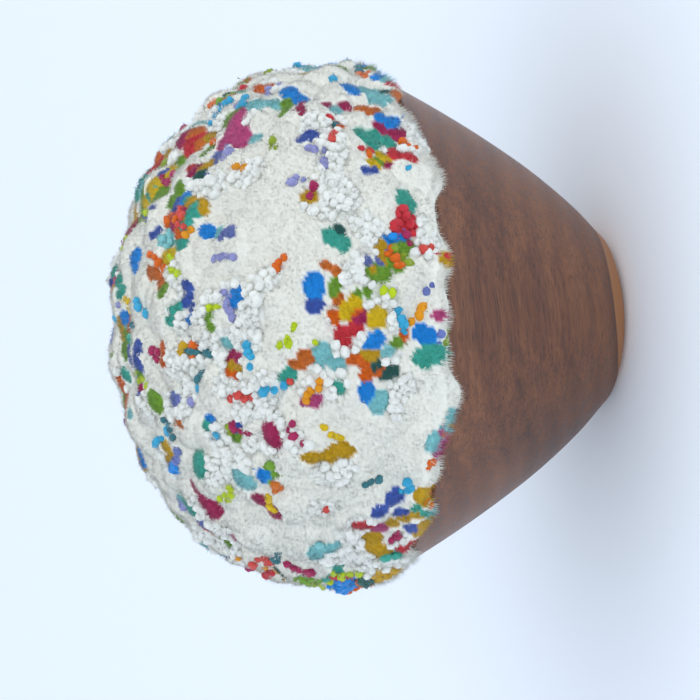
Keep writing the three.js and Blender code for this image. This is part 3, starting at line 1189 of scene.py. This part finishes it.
    def join_fibres(
        self,
        name: str,
        roots: np.ndarray,
        ways: np.ndarray,
        length: np.ndarray,
        width: float,
        yarns: np.ndarray,
        soft: np.ndarray,
    ) -> None:
        """Joins fine pointed fibres into a piece.

        Args:
            name: The piece's name.
            roots: Where each fibre starts, inside the pile.
            ways: Where it points.
            length: How long it is.
            width: Its radius at the root.
            yarns: Its yarn number.
            soft: The way out of the pile there.
        """
        count = len(roots)
        first, second = sideways(ways, self.rng)
        angles = FULL_TURN * np.arange(3) / 3
        ring = np.cos(angles)[None, :, None] * first[:, None]
        ring = ring + np.sin(angles)[None, :, None] * second[:, None]
        tips = roots + ways * length[:, None]
        points = np.concatenate([roots[:, None] + ring * width, tips[:, None]], axis=1)
        faces = np.array([(0, 2, 1), (0, 1, 3), (1, 2, 3), (2, 0, 3)])
        triangles = faces[None] + (4 * np.arange(count))[:, None, None]
        mesh = mesh_from_arrays(name, points.reshape(-1, 3), triangles.reshape(-1, 3))
        each = np.repeat(np.arange(count), 4)
        soften(mesh, unit(soft + self.rng.normal(0.0, 0.12, soft.shape))[each])
        # Painted shade: a fibre's root corners read as halfway along the tuft, so they take some of the
        # root's shade.
        tip = np.tile([0.5, 0.5, 0.5, 1.0], count)
        corner = np.tile([(0, 0), (0.02, 0), (0, 0.04), (0.01, 0)], (count, 1))
        paint(mesh, yarns[each], self.rng.random(count)[each], tip, corner)
        self.dress(add_piece(name, mesh), self.cut_look)


@dataclass(frozen=True)
class Studio:
    """The stage, the lights and the camera at the photograph's angle."""

    azimuth_deg: float = 72.12
    elevation_deg: float = 1.32
    roll_deg: float = -1.315
    distance: float = 1.7575
    focal_px: float = 5975.6
    aim: tuple[float, float, float] = (0.0, -0.06, 0.0)
    aim_px: tuple[float, float] = (406.5, 324.1)
    sensor_mm: float = 36.0
    floor_drop: float = 0.42
    stage_reach: float = 1.25
    backdrop_gap: float = 0.3 * MM
    foot_hole: float = 21.5 * MM
    backdrop_steps: int = 96
    backdrop_glow: float = 0.08
    stage_color: tuple[int, int, int] = (244, 247, 251)
    sky_color: tuple[int, int, int] = (226, 238, 252)
    sky_strength: float = 0.93
    broad_watts: float = 11.0
    fill_watts: float = 7.0

    def build(self) -> None:
        """Makes the camera, the lights and the stage."""
        bpy.context.scene.view_settings.view_transform = "Standard"
        self.build_camera()
        self.build_lights()
        self.build_stage()

    def build_camera(self) -> None:
        """Places the camera so that the aim point falls on its pixel."""
        azimuth, elevation = math.radians(self.azimuth_deg), math.radians(self.elevation_deg)
        back = Vector(
            (
                math.sin(azimuth) * math.cos(elevation),
                -math.cos(azimuth) * math.cos(elevation),
                math.sin(elevation),
            )
        )
        forward = -back
        level = forward.cross(Vector((0, 0, 1))).normalized()
        upright = level.cross(forward)
        cos, sin = math.cos(math.radians(self.roll_deg)), math.sin(math.radians(self.roll_deg))
        right = cos * level + sin * upright
        up = cos * upright - sin * level
        middle = IMAGE_SIDE / 2
        ray = forward + right * ((self.aim_px[0] - middle) / self.focal_px)
        ray -= up * ((self.aim_px[1] - middle) / self.focal_px)
        data = bpy.data.cameras.new("photo_camera")
        data.sensor_width = self.sensor_mm
        data.lens = self.sensor_mm * self.focal_px / IMAGE_SIDE
        data.clip_end = 50.0
        camera = bpy.data.objects.new("photo_camera", data)
        turn = Matrix((right, up, back)).transposed().to_4x4()
        camera.matrix_world = Matrix.Translation(Vector(self.aim) - ray * self.distance) @ turn
        bpy.context.scene.collection.objects.link(camera)
        bpy.context.scene.camera = camera

    def build_lights(self) -> None:
        """Makes an even cool surround, a broad light from above in front, and a weak one at the side."""
        world = bpy.data.worlds.new("surround")
        world.use_nodes = True
        glow = world.node_tree.nodes["Background"]
        glow.inputs["Color"].default_value = linear(self.sky_color)
        glow.inputs["Strength"].default_value = self.sky_strength
        bpy.context.scene.world = world
        self.area_light("broad_light", (0.0, -1.4, 1.9), 2.6, self.broad_watts, (255, 252, 246))
        self.area_light("side_fill", (1.7, -0.9, 0.2), 1.8, self.fill_watts, (244, 248, 255))

    def area_light(
        self, name: str, place: Sequence[float], size: float, power: float, srgb: Sequence[int]
    ) -> None:
        """Adds a square light that faces the sculpture.

        Args:
            name: The light's name.
            place: Where it stands.
            size: Its side.
            power: Its watts.
            srgb: Its colour.
        """
        data = bpy.data.lights.new(name, "AREA")
        data.size = size
        data.energy = power
        data.color = linear(srgb)[:3]
        lamp = bpy.data.objects.new(name, data)
        lamp.location = place
        lamp.rotation_mode = "QUATERNION"
        lamp.rotation_quaternion = (Vector(self.aim) - Vector(place)).to_track_quat("-Z", "Y")
        bpy.context.scene.collection.objects.link(lamp)

    def build_stage(self) -> None:
        """Makes the pale floor, and an upright backdrop that is clear from behind and open at the foot."""
        floor = bmesh.new()
        bmesh.ops.create_grid(floor, x_segments=1, y_segments=1, size=self.stage_reach)
        bmesh.ops.translate(floor, verts=floor.verts, vec=(0, 0, -self.floor_drop))
        self.stage_piece("floor", floor, False)
        backdrop = bmesh.new()
        reaches = (self.foot_hole, self.stage_reach)
        ends = [backdrop.verts.new((reach, self.backdrop_gap, 0.0)) for reach in reaches]
        edge = backdrop.edges.new(ends)
        spin_about_y(backdrop, [*ends, edge], self.backdrop_steps)
        backdrop.normal_update()
        turned = [face for face in backdrop.faces if face.normal.y > 0]
        bmesh.ops.reverse_faces(backdrop, faces=turned)
        self.stage_piece("backdrop", backdrop, True)

    def stage_piece(self, name: str, shape: bmesh.types.BMesh, one_sided: bool) -> None:
        """Adds a plain flat piece of the stage.

        Args:
            name: Its name.
            shape: Its mesh, which is freed here.
            one_sided: Whether it is clear when seen from behind.
        """
        shape.normal_update()
        mesh = bpy.data.meshes.new(name)
        shape.to_mesh(mesh)
        shape.free()
        material, nodes, shader = new_material(f"pale_{name}")
        shader.inputs["Base Color"].default_value = linear(self.stage_color)
        shader.inputs["Roughness"].default_value = 0.85
        shader.inputs["Specular IOR Level"].default_value = 0.1
        if one_sided:
            shader.inputs["Emission Color"].default_value = linear(self.sky_color)
            shader.inputs["Emission Strength"].default_value = self.backdrop_glow
            side = nodes.add("ShaderNodeNewGeometry").outputs["Backfacing"]
            clear = nodes.add("ShaderNodeBsdfTransparent")
            choice = nodes.add("ShaderNodeMixShader")
            nodes.link(side, choice.inputs[0])
            nodes.link(shader.outputs[0], choice.inputs[1])
            nodes.link(clear.outputs[0], choice.inputs[2])
            nodes.link(choice.outputs[0], material.node_tree.nodes["Material Output"].inputs["Surface"])
        mesh.materials.append(material)
        piece = bpy.data.objects.new(name, mesh)
        bpy.context.scene.collection.objects.link(piece)


def main() -> None:
    """Builds the studio, then the bowl, then the wool."""
    logging.basicConfig(level=logging.INFO, format="%(name)s %(message)s")
    Studio().build()
    bowl = Bowl(finish=OiledWood())
    bowl.build()
    form = PileForm(bowl=bowl)
    group = yarn_group()
    WoolDome(
        form=form,
        plan=TuftPlan(form=form),
        # root_shade is how dark the painted shade at the roots makes loops and cut pile.
        loop_finish=DyedWool("looped_wool", group, root_shade=0.82, sheen=0.2),
        cut_finish=DyedWool("cut_wool", group, root_shade=0.9, sheen=0.2),
    ).build()
    bpy.context.view_layer.update()


if __name__ == "__main__":
    main()
